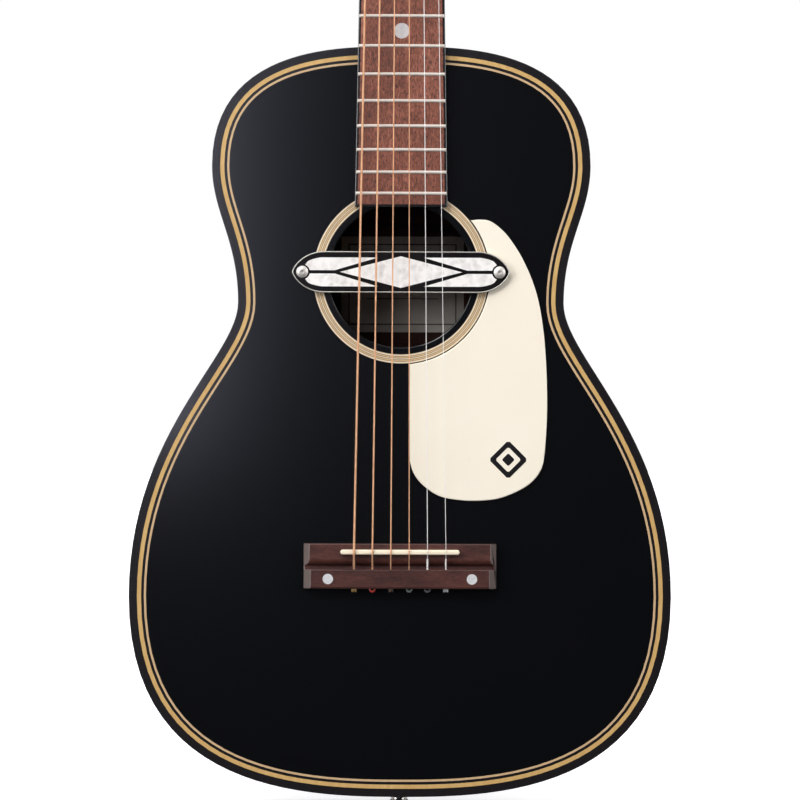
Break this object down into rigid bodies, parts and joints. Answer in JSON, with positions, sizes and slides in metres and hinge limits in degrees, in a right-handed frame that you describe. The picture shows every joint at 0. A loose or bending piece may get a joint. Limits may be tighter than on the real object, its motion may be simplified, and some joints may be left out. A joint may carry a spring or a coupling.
{
  "type": "acoustic guitar",
  "caption": "Small-bodied flat-top guitar with a soundhole pickup, pinless bridge, flat pickguard, angled headstock and open worm-geared tuners.",
  "frame": {"origin": "bottom centre of the box round the whole guitar standing upright, at the end pin's outer face", "axes": "+Z from the tail up the neck, -Y out of the soundboard towards the listener, +X to the viewer's right, the treble side"},
  "size_m": [0.3292, 0.108, 0.9401],
  "materials": {
    "black_lacquer": "satin",
    "binding_black": "gloss",
    "purfling_cream": "satin",
    "rosette_maple": "satin",
    "inner_wood": "bare",
    "spruce": "bare",
    "walnut": "satin",
    "bridge_walnut": "satin",
    "bone": "satin",
    "ivory_plastic": "gloss",
    "black_plastic": "gloss",
    "nickel": "polished",
    "bronze_wire": "wound",
    "steel_wire": "polished"
  },
  "bodies": {
    "guitar": {"soundboard": "black_lacquer", "back": "black_lacquer", "side_bass": "black_lacquer", "side_treble": "black_lacquer", "neck_block": "inner_wood", "tail_block": "inner_wood", "lining_top": "inner_wood", "lining_back": "inner_wood", "x_brace_bass": "spruce", "x_brace_treble": "spruce", "transverse_brace": "spruce", "tone_bar_upper": "spruce", "tone_bar_lower": "spruce", "back_brace_1": "spruce", "back_brace_2": "spruce", "back_brace_3": "spruce", "back_brace_4": "spruce", "bridge_plate": "inner_wood", "binding_top": "binding_black", "binding_back": "binding_black", "purfling": "purfling_cream", "rosette": "rosette_maple", "pickguard": "ivory_plastic", "end_pin_jack": "nickel", "neck_shaft": "black_lacquer", "heel": "black_lacquer", "heel_cap": "binding_black", "headstock": "black_lacquer", "headplate": "black_lacquer", "fingerboard": "walnut", "fingerboard_binding": "binding_black", "nut": "bone", "truss_rod": "steel_wire", "truss_rod_cover": "ivory_plastic", "bridge": "bridge_walnut", "saddle": "bone", "pickup_cover": "black_plastic", "pickup_housing": "black_plastic", "pickup_screw_bass": "nickel", "pickup_screw_treble": "nickel", "tuner_plate_bass": "nickel", "tuner_plate_treble": "nickel", "string_1": "bronze_wire", "string_2": "bronze_wire", "string_3": "bronze_wire", "string_4": "bronze_wire", "string_5": "steel_wire", "string_6": "steel_wire"},
    "key_1": {"tuner_key_1": "ivory_plastic"},
    "post_1": {"tuner_post_1": "nickel"},
    "key_2": {"tuner_key_2": "ivory_plastic"},
    "post_2": {"tuner_post_2": "nickel"},
    "key_3": {"tuner_key_3": "ivory_plastic"},
    "post_3": {"tuner_post_3": "nickel"},
    "key_4": {"tuner_key_4": "ivory_plastic"},
    "post_4": {"tuner_post_4": "nickel"},
    "key_5": {"tuner_key_5": "ivory_plastic"},
    "post_5": {"tuner_post_5": "nickel"},
    "key_6": {"tuner_key_6": "ivory_plastic"},
    "post_6": {"tuner_post_6": "nickel"}
  },
  "joints": [
    {"name": "key_1_turn", "type": "hinge", "parent": "guitar", "child": "key_1", "pos_m": [-0.0215, -0.01074, 0.82186], "axis": [1, 0, 0], "continuous": true},
    {"name": "post_1_turn", "type": "hinge", "parent": "guitar", "child": "post_1", "pos_m": [-0.0215, -0.01287, 0.8126], "axis": [0, -0.9744, 0.225], "continuous": true},
    {"name": "key_2_turn", "type": "hinge", "parent": "guitar", "child": "key_2", "pos_m": [-0.0215, -0.00219, 0.85889], "axis": [1, 0, 0], "continuous": true},
    {"name": "post_2_turn", "type": "hinge", "parent": "guitar", "child": "post_2", "pos_m": [-0.0215, -0.00433, 0.84963], "axis": [0, -0.9744, 0.225], "continuous": true},
    {"name": "key_3_turn", "type": "hinge", "parent": "guitar", "child": "key_3", "pos_m": [-0.0215, 0.00636, 0.89591], "axis": [1, 0, 0], "continuous": true},
    {"name": "post_3_turn", "type": "hinge", "parent": "guitar", "child": "post_3", "pos_m": [-0.0215, 0.00422, 0.88666], "axis": [0, -0.9744, 0.225], "continuous": true},
    {"name": "key_4_turn", "type": "hinge", "parent": "guitar", "child": "key_4", "pos_m": [0.0215, 0.00636, 0.89591], "axis": [1, 0, 0], "continuous": true},
    {"name": "post_4_turn", "type": "hinge", "parent": "guitar", "child": "post_4", "pos_m": [0.0215, 0.00422, 0.88666], "axis": [0, -0.9744, 0.225], "continuous": true},
    {"name": "key_5_turn", "type": "hinge", "parent": "guitar", "child": "key_5", "pos_m": [0.0215, -0.00219, 0.85889], "axis": [1, 0, 0], "continuous": true},
    {"name": "post_5_turn", "type": "hinge", "parent": "guitar", "child": "post_5", "pos_m": [0.0215, -0.00433, 0.84963], "axis": [0, -0.9744, 0.225], "continuous": true},
    {"name": "key_6_turn", "type": "hinge", "parent": "guitar", "child": "key_6", "pos_m": [0.0215, -0.01074, 0.82186], "axis": [1, 0, 0], "continuous": true},
    {"name": "post_6_turn", "type": "hinge", "parent": "guitar", "child": "post_6", "pos_m": [0.0215, -0.01287, 0.8126], "axis": [0, -0.9744, 0.225], "continuous": true}
  ],
  "couplings": [
    {"joint": "post_1_turn", "follows": "key_1_turn", "ratio": 0.071429},
    {"joint": "post_2_turn", "follows": "key_2_turn", "ratio": 0.071429},
    {"joint": "post_3_turn", "follows": "key_3_turn", "ratio": 0.071429},
    {"joint": "post_4_turn", "follows": "key_4_turn", "ratio": 0.071429},
    {"joint": "post_5_turn", "follows": "key_5_turn", "ratio": 0.071429},
    {"joint": "post_6_turn", "follows": "key_6_turn", "ratio": 0.071429}
  ]
}
